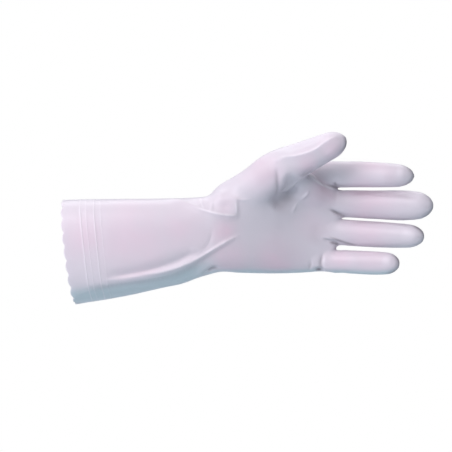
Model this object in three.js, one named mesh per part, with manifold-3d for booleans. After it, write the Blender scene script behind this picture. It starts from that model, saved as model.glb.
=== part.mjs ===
// A flock-lined household cleaning glove for the left hand, in the form that it has when it is worn.
// One dipped vinyl shell, hollow from the pinked cuff to the five fingertips. Millimetres, +Z up.
// The cuff's mouth is centred on the origin, the fingers point along +X, the palm faces -Y and
// the thumb side is up.

import * as THREE from "three";
import { mergeVertices } from "three/addons/utils/BufferGeometryUtils.js";
import Module from "manifold-3d";

// The driving sizes.
const wall = 1.2; // vinyl and flock together
const bodySides = 44; // corners round the cuff and palm
const fingerSides = 14;
const thumbSides = 18;
const webSides = 8;
const scallops = 22; // waves of the pinked edge
const scallopDepth = 1.8;
const mouthOverrun = 12; // how far the hollow's cutter stands out of the mouth
const webCrown = 0.6; // how far the palm's end bulges between the fingers
const weld = 1e-4; // corners closer than this are one

// Rows of numbers under named columns.
function table(columns, ...rows) {
  const names = columns.split(" ");
  return rows.map((row) => Object.fromEntries(names.map((name, i) => [name, row[i]])));
}

// Raised lines round the cuff: how far from the pinked edge, how high, and half their width.
const beads = table("from height half", [17.0, 0.6, 1.1], [21.6, 0.4, 1.0], [28.2, 0.6, 1.2]);

// Sections of the cuff and palm. x is the section's middle, lean tips its top towards the cuff in
// degrees, and top and bottom are heights. y is the middle plane, which twist brings forward at the
// top, front and back are depths either side of it, and square is the superellipse's exponent. tuck
// narrows the slack below the height ridge, arch bends the hand round its palm, hollow sinks the
// middle of the palm and web brings the upper edge forward, to the thumb's web.
const bodySections = table(
  "x lean top bottom y twist front back square tuck ridge arch hollow web",
  [0, 6.9, 44.9, -44.9, 0, 0, 33, 31, 2.9, 0.14, -39.5, 0, 0, 0],
  [24, 6.2, 45.4, -41.6, 0, 0, 32.5, 30, 3.0, 0.34, -33.0, 0, 0, 0],
  [52, 4.6, 45.7, -36.8, 0, 0, 31, 29, 3.1, 0.42, -25.0, 0, 0, 0],
  [79, 3.0, 46.0, -31.0, 0, 0, 29, 27, 3.0, 0.42, -19.0, 0, 0, 0],
  [100, 1.5, 46.4, -26.6, 0, 0, 27, 25, 2.9, 0.32, -11.5, 0, 0, 0],
  [112, 0.7, 47.1, -22.2, 0, 0, 25.7, 23.2, 2.8, 0.18, -4.5, 0.8, 0, 0],
  [121, 0, 48.2, -19.6, 0, 0.5, 24.7, 21.8, 2.6, 0.06, 0, 1.8, 0, 0],
  [130, 0, 53.6, -17.2, 0, 1.5, 24, 21, 2.5, 0.02, 4, 3, 0, 0],
  [148, 0, 58.0, -18.0, 1, 4.5, 21.5, 19, 2.5, 0, 12, 4, 1, 0],
  [175, 0, 62.5, -18.8, 4.5, 7, 18.5, 17, 2.5, 0, 16, 4, 2.5, 0],
  [196, 0, 68.5, -18.6, 8, 7, 15, 15, 2.5, 0, 16, 3.5, 2.5, 2],
  [206, 0, 68.0, -18.2, 9.2, 6.5, 13.4, 13.6, 2.4, 0, 16, 3.5, 2, 3],
  [214, 0, 61.0, -17.6, 9.8, 5.5, 11.6, 12.2, 2.4, 0, 16, 3, 1, 4],
  [222, 0, 57.0, -16.4, 9.6, 4.5, 9.8, 10.2, 2.4, 0, 16, 2, 0.5, 4],
  [228, 0, 55.2, -13.0, 9, 3.5, 8.4, 8, 2.3, 0, 16, 1, 0, 3],
  [231.5, 0, 54.0, 2.0, 7, 1.5, 6.5, 6, 2.2, 0, 16, 0, 0, 1],
  [233.5, 0, 53.0, 7.5, 6.5, 1, 5, 4.6, 2.2, 0, 16, 0, 0, 0],
  [235.5, 0, 51.0, 9.5, 6, 1, 2.5, 2.5, 2.2, 0, 16, 0, 0, 0],
);

// Rings of the cuff and palm: one at every step from the zone's start to its end.
const ringZones = table(
  "start end step",
  [5, 12, 6],
  [34, 146, 7],
  [154, 202, 8],
  [209, 229, 4],
  [231.5, 235.5, 2],
);

// Folds of the palm side. Each follows a curve through its points, x and z, and lifts the skin by
// height along its crest, or sinks it where height is negative. half is its half width.
const slackRidge = table("x z", [30, -24.2], [59, -19.8], [84, -14.4], [105, -6.6], [128, 5.5], [151, 16]);
const valleyOverRidge = table("x z", [34, -19.5], [65, -15.5], [92, -7], [116, 4.5]);
const valleyUnderRidge = table("x z", [0, -42], [37, -29.5], [80, -22], [103, -12.3], [125, 0], [147, 11.3]);
const wristCrease = table("x z", [125, 21.4], [122, 8], [113, 2]);
const upperWristFold = table("x z", [82, 46], [108, 39.2], [127, 33], [150, 31]);
const thumbRootDent = table("x z", [122, 41], [146, 40]);
const thumbWebDent = table("x z", [196, 64], [188, 51], [178, 40]);
const littleRootCrease = table("x z", [223, 3], [219, -8], [221, -17]);
const folds = table(
  "points height half",
  [slackRidge, 1.4, 4.5],
  [valleyOverRidge, -1.2, 5],
  [valleyUnderRidge, -1.4, 4.5],
  [wristCrease, -0.8, 4],
  [upperWristFold, 1.8, 4.5],
  [thumbRootDent, -1.6, 6],
  [thumbWebDent, -3.4, 9],
  [littleRootCrease, -1.6, 3.5],
);

// The limbs. Each row is a section across the bone, from inside the palm to the tip: its middle, its
// width across the hand and its depth from palm to back. dome is the length of the rounded tip.
const limbColumns = "x y z width depth";
const index = {
  sides: fingerSides,
  dome: 15,
  rows: table(
    limbColumns,
    [150, 3, 46, 20, 18],
    [190, 5, 60, 22, 17],
    [215, 8, 66.2, 23, 18],
    [239.6, 4.5, 67.1, 22.8, 19.5],
    [267, -2.5, 66.4, 21.8, 19],
    [297.6, -10, 65, 18.5, 16.5],
  ),
};
const middle = {
  sides: fingerSides,
  dome: 15,
  rows: table(
    limbColumns,
    [165, 5, 33, 20, 18],
    [205, 7.5, 38.5, 22, 18],
    [234, 7.5, 41.6, 23.6, 20.5],
    [261.8, 3, 40.9, 24.8, 20.5],
    [288.8, -5, 40.1, 26, 19.5],
    [313.4, -14, 39.7, 22, 16.5],
  ),
};
const ring = {
  sides: fingerSides,
  dome: 14,
  rows: table(
    limbColumns,
    [165, 5, 15, 20, 18],
    [205, 9, 16.6, 21, 18],
    [232, 7.8, 17, 22.6, 19.5],
    [257, 2.5, 15.6, 22.8, 19.5],
    [282.8, -5.5, 14.3, 21.6, 18.5],
    [305.6, -15, 13.3, 18.8, 16],
  ),
};
const little = {
  sides: fingerSides,
  dome: 12,
  rows: table(
    limbColumns,
    [165, 4, -3, 20, 18],
    [205, 11, -6.6, 20.5, 17],
    [229, 9.2, -8.2, 19.8, 17.5],
    [248, 3, -8.9, 20.6, 17.5],
    [265.8, -6, -9.6, 20.4, 16.5],
    [284.8, -15, -9.5, 18, 14.5],
  ),
};
const web = {
  sides: webSides,
  dome: 4,
  rows: table(
    limbColumns,
    [192, -15, 67, 12, 10],
    [199, -13.5, 63, 17, 12],
    [205, -9.5, 57.5, 22, 13],
    [211, -5, 51.5, 22, 13],
    [219, 0, 47, 20, 12],
    [228, 3.5, 44, 18, 11],
    [236, 7, 44, 12, 8],
  ),
};
const thumb = {
  sides: thumbSides,
  dome: 14,
  rows: table(
    limbColumns,
    [126, -1, 30, 26, 24],
    [138, -3, 40.5, 36, 30],
    [151, -6.5, 48.2, 37, 32],
    [164, -11.5, 57.1, 36, 33],
    [176, -17, 65.6, 37.5, 32.5],
    [186, -21.5, 71.8, 35, 30],
    [196, -26, 77, 30.5, 26],
    [207, -30, 82.2, 27, 23],
    [219.3, -34, 87.8, 24, 20.5],
    [229.5, -36.8, 92.2, 21.6, 18.5],
    [237.2, -39, 95.0, 19, 16.5],
  ),
};
const limbs = [index, middle, ring, little, web, thumb];
const shaftRings = 9;
const domeAngles = [0, 24, 46, 64, 78]; // degrees from the dome's edge towards the tip

const foldSteps = 40; // points along each fold's curve
const foldFade = 6; // a fold is at its full height once past a sixth of its length
const foldEnd = 0.15; // the part of its height that a fold starts with
const foldSharpness = 2; // how fast a fold falls off from its crest
const tuckWidth = 6.5; // how far below the ridge the slack takes to narrow
const webSharpness = 4; // how near the upper edge the web's pull stays
const hollowHeight = 0.05; // the palm's hollow: its middle and spread, in half heights of the section
const hollowSpread = 0.5;

const radians = THREE.MathUtils.degToRad;
const signedPower = (v, p) => Math.sign(v) * Math.abs(v) ** p;

// The value of a column at x, along a smooth curve through the table's rows.
function columnAt(table, column, x) {
  const last = table.length - 1;
  const place = THREE.MathUtils.clamp(x, table[0].x, table[last].x);
  let i = 0;
  while (i < last - 1 && table[i + 1].x < place) i += 1;
  const t = (place - table[i].x) / (table[i + 1].x - table[i].x);
  const slope = (a, b) => (table[b][column] - table[a][column]) / (table[b].x - table[a].x);
  const step = table[i + 1].x - table[i].x;
  const leave = slope(Math.max(i - 1, 0), i + 1) * step;
  const arrive = slope(i, Math.min(i + 2, last)) * step;
  const [from, to] = [table[i][column], table[i + 1][column]];
  return (
    from * (2 * t ** 3 - 3 * t ** 2 + 1) +
    leave * (t ** 3 - 2 * t ** 2 + t) +
    to * (3 * t ** 2 - 2 * t ** 3) +
    arrive * (t ** 3 - t ** 2)
  );
}

// How far the raised lines lift the outside at x.
function beadLift(x) {
  return beads.reduce((lift, bead) => {
    const off = Math.abs(x - bead.from) / bead.half;
    return lift + (off < 1 ? bead.height * Math.cos((off * Math.PI) / 2) : 0);
  }, 0);
}

// The folds as polylines fine enough to measure from.
const foldLines = folds.map(({ height, half, points }) => {
  const curve = new THREE.CatmullRomCurve3(points.map((p) => new THREE.Vector3(p.x, 0, p.z)));
  return { height, half, line: curve.getPoints(foldSteps) };
});

// How far the folds lift the palm side at (x, z). A fold fades towards both of its ends.
function foldLift(x, z) {
  const here = new THREE.Vector3(x, 0, z);
  return foldLines.reduce((lift, { height, half, line }) => {
    const gaps = line.map((p) => p.distanceTo(here));
    const nearest = Math.min(...gaps);
    const along = gaps.indexOf(nearest) / foldSteps;
    const fade = Math.min(1, foldFade * Math.min(along, 1 - along) + foldEnd);
    return lift + height * fade * Math.exp(-foldSharpness * (nearest / half) ** 2);
  }, 0);
}

// One ring of the cuff and palm. grow is added all round: the beads' height outside, less a wall inside.
function bodyRing(x, grow, sides = bodySides) {
  const at = (column) => columnAt(bodySections, column, x);
  const middleHeight = (at("top") + at("bottom")) / 2;
  const half = (at("top") - at("bottom")) / 2;
  const power = 2 / at("square");
  const tip = Math.tan(radians(at("lean")));
  return Array.from({ length: sides }, (_, i) => {
    const a = (2 * Math.PI * i) / sides;
    const rise = signedPower(Math.cos(a), power);
    const side = signedPower(Math.sin(a), power);
    const height = middleHeight + rise * half;
    const narrow = 1 - at("tuck") * THREE.MathUtils.smoothstep(at("ridge") - height, 0, tuckWidth);
    const depth = (side > 0 ? at("front") : at("back")) * narrow + grow;
    const px = x - tip * rise * (half + grow);
    const sunk = at("hollow") * Math.exp(-(((rise - hollowHeight) / hollowSpread) ** 2));
    const shaped = side > 0 ? side * (foldLift(px, height) - sunk) : 0;
    const forward = at("web") * Math.max(rise, 0) ** webSharpness;
    const bent = at("twist") * rise + at("arch") * rise ** 2 + forward;
    return new THREE.Vector3(px, at("y") - side * depth - shaped - bent, height + rise * grow);
  });
}

// The pinked edge: twice as many corners as the ring beside it, four to a scallop.
function pinkedRing(grow) {
  const ring = bodyRing(0, grow, 2 * bodySides);
  return ring.map((p, i) => {
    const wave = Math.cos((2 * Math.PI * scallops * i) / (2 * bodySides));
    return new THREE.Vector3(p.x - (scallopDepth / 2) * wave, p.y, p.z);
  });
}

// The rings of one limb, each across the limb's own direction, shrunk by inset.
function limbRings(limb, inset) {
  const centres = new THREE.CatmullRomCurve3(limb.rows.map((r) => new THREE.Vector3(r.x, r.y, r.z)));
  const halves = new THREE.CatmullRomCurve3(
    limb.rows.map((r) => new THREE.Vector3(r.width / 2, r.depth / 2, 0)),
    false,
    "catmullrom",
  );
  const length = centres.getLength();
  const shaft = 1 - limb.dome / length;
  const stations = Array.from({ length: shaftRings }, (_, i) => ({ u: (shaft * i) / shaftRings, scale: 1 }));
  domeAngles.forEach((degrees) => {
    const a = radians(degrees);
    const reach = (limb.dome * Math.sin(a)) / length;
    stations.push({ u: shaft + reach, scale: Math.cos(a) });
  });
  const rings = stations.map(({ u, scale }) => {
    const t = centres.getUtoTmapping(u);
    const centre = centres.getPoint(t);
    const along = centres.getTangent(t);
    const across = new THREE.Vector3(0, 1, 0).cross(along).normalize().negate();
    const deep = along.clone().cross(across);
    const size = halves.getPoint(t);
    centre.addScaledVector(along, -inset * (1 - scale));
    return Array.from({ length: limb.sides }, (_, i) => {
      const a = (2 * Math.PI * i) / limb.sides;
      return centre
        .clone()
        .addScaledVector(across, Math.cos(a) * Math.max(size.x - inset, 1) * scale)
        .addScaledVector(deep, Math.sin(a) * Math.max(size.y - inset, 1) * scale);
    });
  });
  const end = centres.getPoint(1).addScaledVector(centres.getTangent(1), -inset);
  return { rings, end };
}

// A closed skin over rings that run the same way round, with a fan at each end. A ring may have
// half as many corners as the one before it.
function skin(rings, start, end) {
  const points = [start, ...rings.flat(), end];
  const firsts = rings.map((_, i) => 1 + rings.slice(0, i).reduce((n, r) => n + r.length, 0));
  const faces = [];
  const startRing = rings[0].length;
  for (let j = 0; j < startRing; j += 1) faces.push(0, firsts[0] + ((j + 1) % startRing), firsts[0] + j);
  for (let i = 0; i + 1 < rings.length; i += 1) {
    const [here, next] = [firsts[i], firsts[i + 1]];
    const [many, few] = [rings[i].length, rings[i + 1].length];
    for (let j = 0; j < few; j += 1) {
      const k = (j + 1) % few;
      if (many === few) {
        faces.push(here + j, here + k, next + k, here + j, next + k, next + j);
      } else {
        const [a, b, c] = [2 * j, 2 * j + 1, (2 * j + 2) % many].map((n) => here + n);
        faces.push(a, b, next + j, b, next + k, next + j, b, c, next + k);
      }
    }
  }
  const lastRing = rings.at(-1).length;
  const last = firsts.at(-1);
  for (let j = 0; j < lastRing; j += 1) faces.push(points.length - 1, last + j, last + ((j + 1) % lastRing));
  return new THREE.BufferGeometry().setFromPoints(points).setIndex(faces);
}

const middleOf = (ring) =>
  ring.reduce((sum, p) => sum.add(p), new THREE.Vector3()).divideScalar(ring.length);

const plainStations = () =>
  ringZones.flatMap(({ start, end, step }) => {
    const count = Math.round((end - start) / step);
    return Array.from({ length: count + 1 }, (_, i) => start + (count ? ((end - start) * i) / count : 0));
  });

function bodyGeometry(inset) {
  const outside = inset === 0;
  const beadStations = beads.flatMap((b) => [b.from - b.half, b.from, b.from + b.half]);
  const stations = [...plainStations(), ...(outside ? beadStations : [])].toSorted((a, b) => a - b);
  const rings = stations.map((x) => bodyRing(x, outside ? beadLift(x) : -inset));
  if (outside) {
    rings.unshift(pinkedRing(0));
  } else {
    const mouth = bodyRing(0, -inset);
    rings.unshift(mouth.map((p) => p.clone().setX(p.x - mouthOverrun)), mouth);
  }
  const end = middleOf(rings.at(-1)).add(new THREE.Vector3(webCrown - inset, 0, 0));
  return skin(rings, middleOf(rings[0]), end);
}

function limbGeometry(limb, inset) {
  const { rings, end } = limbRings(limb, inset);
  return skin(rings, middleOf(rings[0]), end);
}

const wasm = await Module();
wasm.setup();

function solidOf(geometry) {
  const merged = mergeVertices(geometry, weld);
  const made = new wasm.Manifold(
    new wasm.Mesh({
      numProp: 3,
      vertProperties: merged.attributes.position.array,
      triVerts: new Uint32Array(merged.index.array),
    }),
  );
  if (made.volume() < 0) throw new Error("a skin is inside out");
  return made;
}

// The cuff, palm, thumb and fingers as one solid, all shrunk by inset.
function handSolid(inset) {
  return limbs.reduce(
    (hand, limb) => hand.add(solidOf(limbGeometry(limb, inset))),
    solidOf(bodyGeometry(inset)),
  );
}

const shell = handSolid(0).subtract(handSolid(wall)).getMesh();
const shellGeometry = new THREE.BufferGeometry()
  .setAttribute("position", new THREE.BufferAttribute(shell.vertProperties, 3))
  .setIndex(new THREE.BufferAttribute(shell.triVerts, 1));
shellGeometry.computeVertexNormals();

const vinyl = new THREE.MeshStandardMaterial({ color: 0xe2dae8, roughness: 0.38, metalness: 0 });
const glove = new THREE.Mesh(shellGeometry, vinyl);
glove.name = "glove_shell";

const part = new THREE.Group();
part.add(glove);

export default part;
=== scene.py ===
import math

import bmesh
import bpy
import numpy as np
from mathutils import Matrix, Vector


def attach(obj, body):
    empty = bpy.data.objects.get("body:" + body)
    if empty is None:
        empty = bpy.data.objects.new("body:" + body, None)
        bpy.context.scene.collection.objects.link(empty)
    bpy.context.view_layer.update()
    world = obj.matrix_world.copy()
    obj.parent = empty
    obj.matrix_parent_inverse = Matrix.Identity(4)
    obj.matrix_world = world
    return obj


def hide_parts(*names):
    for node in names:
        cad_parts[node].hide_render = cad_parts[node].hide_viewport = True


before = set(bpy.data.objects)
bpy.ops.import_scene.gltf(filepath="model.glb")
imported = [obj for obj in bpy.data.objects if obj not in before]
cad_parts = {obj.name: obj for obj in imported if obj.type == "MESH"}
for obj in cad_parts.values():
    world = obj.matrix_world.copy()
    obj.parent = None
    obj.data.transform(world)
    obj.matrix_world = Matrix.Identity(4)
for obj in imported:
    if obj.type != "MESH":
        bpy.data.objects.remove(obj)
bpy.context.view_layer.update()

# A flock-lined household cleaning glove for the left hand, in the form that it has when it is worn.
# The cuff's mouth is centred on the origin, the fingers point along +X, the palm faces -Y and the
# thumb side is up. The tables are in millimetres, and MM turns them into metres.

bl_info = {
    "name": "Cleaning glove",
    "version": (1, 0, 0),
    "blender": (4, 5, 0),
    "location": "3D View > Sidebar > Glove",
    "description": "Models a thin dipped vinyl glove with a pinked cuff and a flocked inside",
    "category": "Add Mesh",
}

MM = 0.001
PIECE = "glove_shell"


def table(columns, *rows):
    """Rows of numbers under named columns."""
    names = columns.split()
    return [dict(zip(names, row)) for row in rows]


# Sections of the cuff and palm. x is the section's middle, lean tips its top towards the cuff in
# degrees, top and bottom are heights, and y is the middle's depth. front and back are depths either
# side of it, and square is the superellipse's exponent. tuck narrows the slack that hangs at the
# bottom of the cuff, from the height ridge down. twist brings the top forward and the bottom back,
# arch bends the section round the palm and hollow sinks the palm's middle. web brings the top
# forward alone, where the thumb's web ends in an edge that stands before the index finger's root.
BODY = table(
    "x lean top bottom y twist front back square tuck ridge arch hollow web",
    (0, 6.9, 44.9, -44.9, 0, 0, 33, 31, 2.9, 0.14, -37.0, 0, 0, 0),
    (24, 6.2, 45.4, -41.6, 0, 0, 32.5, 30, 3.0, 0.34, -30.0, 0, 0, 0),
    (52, 4.6, 45.7, -36.8, 0, 0, 31, 29, 3.1, 0.42, -25.5, 0, 0, 0),
    (79, 3.0, 46.0, -31.0, 0, 0, 29, 27, 3.0, 0.42, -21.2, 0, 0, 0),
    (100, 1.5, 46.4, -26.6, 0, 0, 27, 25, 2.9, 0.32, -14.5, 0, 0, 0),
    (112, 0.7, 47.1, -22.2, 0, 0, 25.7, 23.2, 2.8, 0.18, -8.0, 0.8, 0, 0),
    (121, 0, 48.2, -19.6, 0, 0.5, 24.7, 21.8, 2.75, 0.06, -3.5, 1.8, 0, 0),
    (130, 0, 53.6, -17.2, 0, 1.5, 24, 21, 2.75, 0.02, 2, 3, 0, 0),
    (148, 0, 58.0, -18.0, 1, 4.5, 21.5, 19, 2.7, 0, 12, 4, 1, 0),
    (175, 0, 62.5, -18.8, 4.5, 7, 18.5, 17, 2.5, 0, 16, 4, 2.5, 0),
    (196, 0, 68.5, -18.6, 8, 7, 15, 15, 2.5, 0, 16, 3.5, 2.5, 2),
    (206, 0, 68.0, -18.2, 9.2, 6.5, 13.4, 13.6, 2.4, 0, 16, 3.5, 2, 3),
    (214, 0, 61.0, -17.6, 9.8, 5.5, 11.6, 12.2, 2.4, 0, 16, 3, 1, 4),
    (222, 0, 57.0, -16.4, 9.6, 4.5, 9.8, 10.2, 2.4, 0, 16, 2, 0.5, 4),
    (228, 0, 55.2, -13.0, 9, 3.5, 8.4, 8, 2.3, 0, 16, 1, 0, 3),
    (231.5, 0, 54.0, 2.0, 7, 1.5, 6.5, 6, 2.2, 0, 16, 0, 0, 1),
    (233.5, 0, 53.0, 7.5, 6.5, 1, 5, 4.6, 2.2, 0, 16, 0, 0, 0),
    (235.5, 0, 51.0, 9.5, 6, 1, 2.5, 2.5, 2.2, 0, 16, 0, 0, 0),
)
WEB_SHARPNESS = 4  # how closely the web keeps to the section's top
HOLLOW_HEIGHT = 0.05  # the palm's hollow: its middle and spread, in half heights of the section
HOLLOW_SPREAD = 0.5
TUCK_WIDTH = 7.5  # how far below the ridge the tuck reaches its depth

# The fingers, the thumb and its web. Each row is a section across the limb, from inside the palm to
# the tip: its middle, its width from side to side and its depth from front to back.
LIMBS = {
    "index": (
        (150, 3, 46, 20, 18),
        (190, 5, 60, 22, 17),
        (215, 8, 66.2, 23, 18),
        (239.6, 4.5, 67.1, 22.8, 19.5),
        (267, -2.5, 66.4, 21.8, 19),
        (297.6, -10, 65, 18.5, 16.5),
    ),
    "middle": (
        (165, 5, 33, 20, 18),
        (205, 7.5, 38.5, 22, 18),
        (234, 7.5, 41.6, 23.6, 20.5),
        (261.8, 3, 40.9, 24.8, 20.5),
        (288.8, -5, 40.1, 26, 19.5),
        (313.4, -14, 39.7, 22, 16.5),
    ),
    "ring": (
        (165, 5, 15, 20, 18),
        (205, 9, 16.6, 21, 18),
        (232, 7.8, 17.0, 22.6, 19.5),
        (257, 2.5, 15.6, 22.8, 19.5),
        (282.8, -5.5, 14.3, 21.6, 18.5),
        (305.6, -15, 13.3, 18.8, 16),
    ),
    "little": (
        (165, 4, -3, 20, 18),
        (205, 11, -6.6, 20.5, 17),
        (229, 9.2, -8.2, 19.8, 17.5),
        (248, 4, -8.9, 20.6, 17.5),
        (265.8, -4, -9.6, 20.4, 16.5),
        (284.8, -12.5, -9.5, 18, 14.5),
    ),
    "web": (
        (192, -15, 67, 12, 10),
        (199, -13.5, 63, 17, 12),
        (205, -9.5, 57.5, 22, 13),
        (211, -5, 51.5, 22, 13),
        (219, 0, 47, 20, 12),
        (228, 3.5, 44, 18, 11),
        (236, 7, 44, 12, 8),
    ),
    "thumb": (
        (126, -1, 30, 26, 24),
        (138, -3, 40.5, 36, 30),
        (151, -6.5, 48.2, 37, 32),
        (164, -11.5, 57.1, 36, 33),
        (176, -17, 65.6, 37.5, 32.5),
        (186, -21.5, 71.8, 35, 30),
        (196, -26, 77.0, 30.5, 26),
        (207, -30, 82.2, 27, 23),
        (219.3, -34, 87.8, 24, 20.5),
        (229.5, -36.8, 92.2, 21.6, 18.5),
        (237.2, -39, 95.0, 19, 16.5),
    ),
}
LIMBS = {name: table("x y z width depth", *rows) for name, rows in LIMBS.items()}

# How long each limb's rounded tip is.
DOMES = {"index": 15, "middle": 15, "ring": 14, "little": 12, "web": 4, "thumb": 14}

# The fingers nearly touch, so they are fused to the palm while held this far apart, from
# SPREAD_START on and in full from SPREAD_FULL on, and then closed again.
SPREAD = {"index": 3.6, "ring": -4.0, "little": -5.4}
SPREAD_START = 229.0
SPREAD_FULL = 241.0

# Raised lines round the cuff: how far from the pinked edge they are, how high, half their width and
# how strongly a highlight is painted on them. The first is the edge, painted paler and not raised.
BEADS = table(
    "start height half pale",
    (0.0, 0.0, 1.2, 0.5),
    (17.0, 0.22, 0.8, 0.38),
    (21.6, 0.12, 0.7, 0.22),
    (28.2, 0.24, 0.8, 0.38),
    (33.4, 0.10, 0.7, 0.18),
)

# Folds of the palm side. Each follows a curve through its points, x and z. height lifts the vinyl
# along the crest, or sinks it where it is negative. above and below are the half widths on the two
# sides, and power is 2 for a round crest, as it is where none is given, and 1 for a pinched one.
FOLD = "height above below power path"
FOLDS = table(
    FOLD,
    # The slack at the cuff's bottom: a long ridge with a valley on each side.
    (0.5, 1.5, 2.4, 1.6, ((30, -23.4), (45, -22.2), (59, -20.3), (76, -17.3), (88, -14.7))),
    (1.2, 1.3, 2.0, 1.6, ((70, -18.6), (80, -16.8), (92, -13.7), (105, -8.6), (117, -2.2),
        (128, 4.5), (139, 10.7), (151, 16.0))),
    (-2.1, 5.0, 1.8, 1.8, ((34, -19.8), (50, -19.4), (65, -16.8), (79, -13.6), (92, -9.4),
        (103, -4.5), (116, 2.2))),
    (-0.9, 1.5, 3.0, 1.4, ((0, -41), (15, -33.0), (37, -28.4), (59, -25.6), (80, -22.4),
        (92, -18.9), (103, -14.3), (114, -7.8), (125, -1.3), (136, 4.8),
        (147, 11.0))),
    # A small crease in the wrist, and the pucker where the slack ends below it.
    (-0.5, 1.6, 1.6, 1.4, ((125, 21.4), (123, 10.6), (119.6, 5.1), (113, 2.6))),
    (-2.4, 1.3, 1.8, 1.5, ((115, -18.5), (120, -16.5), (125.5, -13.6), (133, -13.2))),
    # The upper wrist's fold, the pocket over it and the short pleats that close the pocket.
    (1.5, 1.7, 2.6, 1.3, ((82, 46.5), (97.6, 43.4), (108.6, 39.2), (117.4, 35.9), (127.3, 33.1),
        (137.2, 31.5), (150, 31))),
    (-0.9, 4.0, 3.0, 2.0, ((118, 42), (128, 39.5), (143, 37.5))),
    (0.7, 1.2, 1.6, 1.4, ((114.4, 49.5), (115.4, 36.5))),
    (0.6, 1.2, 1.6, 1.4, ((124.8, 46), (124, 33))),
    (1.0, 5.0, 2.0, 1.6, ((144.2, 27), (145, 35), (145, 42), (146.5, 50))),
    (0.7, 1.2, 1.6, 1.6, ((136, 47.4), (144, 45.6), (151, 44.6), (160, 44.4))),
    # The hollow under the thumb's web, and its folds.
    (-3.1, 6.8, 6.8, 2.0, ((196, 66), (190, 55), (184, 46), (175, 37))),
    (-1.2, 2.4, 2.2, 1.7, ((178.6, 74), (179.6, 62), (180.8, 52), (181.2, 42))),
    (0.6, 3.0, 3.4, 1.8, ((187.4, 75), (185.6, 65), (184.4, 56), (182.0, 45))),
    (1.0, 1.2, 1.3, 1.4, ((207.4, 54.8), (205.8, 49.8), (199.0, 44.0))),
    (0.9, 1.1, 1.2, 1.4, ((199.4, 46), (196.2, 40.6), (193.0, 32))),
    # The thumb's long facet line, and the shallow facet over it.
    (1.8, 1.4, 2.8, 1.3, ((170, 76), (185.5, 79.6), (200.9, 82.6), (211.4, 86.8), (216.8, 90.8),
        (221.7, 93.8), (231, 98))),
    (-1.5, 4.0, 3.2, 2.0, ((180, 86.5), (196, 89.5), (207, 93.5), (222, 101))),
    # The thumb's lower edge, where it ends over the palm.
    (-1.1, 0.9, 1.6, 1.4, ((212, 71.4), (205.1, 67.4), (197.4, 62.6))),
    # The little finger's crease and the ones at the roots of the ring and little fingers.
    (-1.5, 1.3, 1.6, 1.4, ((222.6, 1.5), (219.6, -3.6), (218.6, -9.6), (221, -17.5))),
    (-2.4, 1.6, 1.6, 1.6, ((212, -18), (217, -15.4), (222.5, -17))),
    (-1.0, 1.2, 1.2, 1.4, ((209.8, -6.6), (208.0, -16.6))),
    (-2.0, 1.6, 1.6, 1.5, ((219, 11.6), (228, 9.0), (238, 5.4))),
    (0.9, 1.1, 1.1, 1.4, ((218, 13.4), (226, 11.6), (237, 10.4))),
    (-2.2, 1.2, 1.2, 1.4, ((224, 38), (232, 33.6), (241, 30.2))),
    (-2.4, 1.2, 1.4, 1.4, ((226, 60.4), (233, 56.0), (241, 54.0))),
    # The dent along the middle finger's upper side.
    (-1.3, 2.6, 2.2, 2.0, ((240, 51.6), (262, 51.3), (280, 50.0), (303, 46.8))),
)
FOLD_FADE = 9.0  # how far each end of a fold takes to fade out
FOLD_FADE_SHARES = (0.2, 0.42)  # the least and most of a fold's length that a fade may take
FOLD_REACH = 16.0  # how far from its path a fold is felt
FAR = 1000.0  # a gap past every fold's reach

# Warm patches in the milky vinyl of the palm side: their middles, radii and strengths.
BLUSH = table(
    "x z radius amount",
    (58, 10, 42, 0.6),
    (100, 18, 30, 0.55),
    (18, 12, 26, 0.6),
    (135, 38, 14, 0.35),
    (141, -4, 18, 1.0),
    (135, 18, 15, 0.9),
    (168, 66, 18, 0.8),
    (205, 75, 13, 0.9),
    (224, 85, 13, 1.0),
    (218, 50, 16, 0.9),
    (255, 65, 26, 1.0),
    (262, 38, 26, 0.7),
    (258, 14, 26, 0.6),
    (234, -7, 16, 0.6),
    (262, -8, 20, 0.6),
    (180, -8, 24, 0.9),
    (212, 22, 18, 0.45),
)
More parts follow.
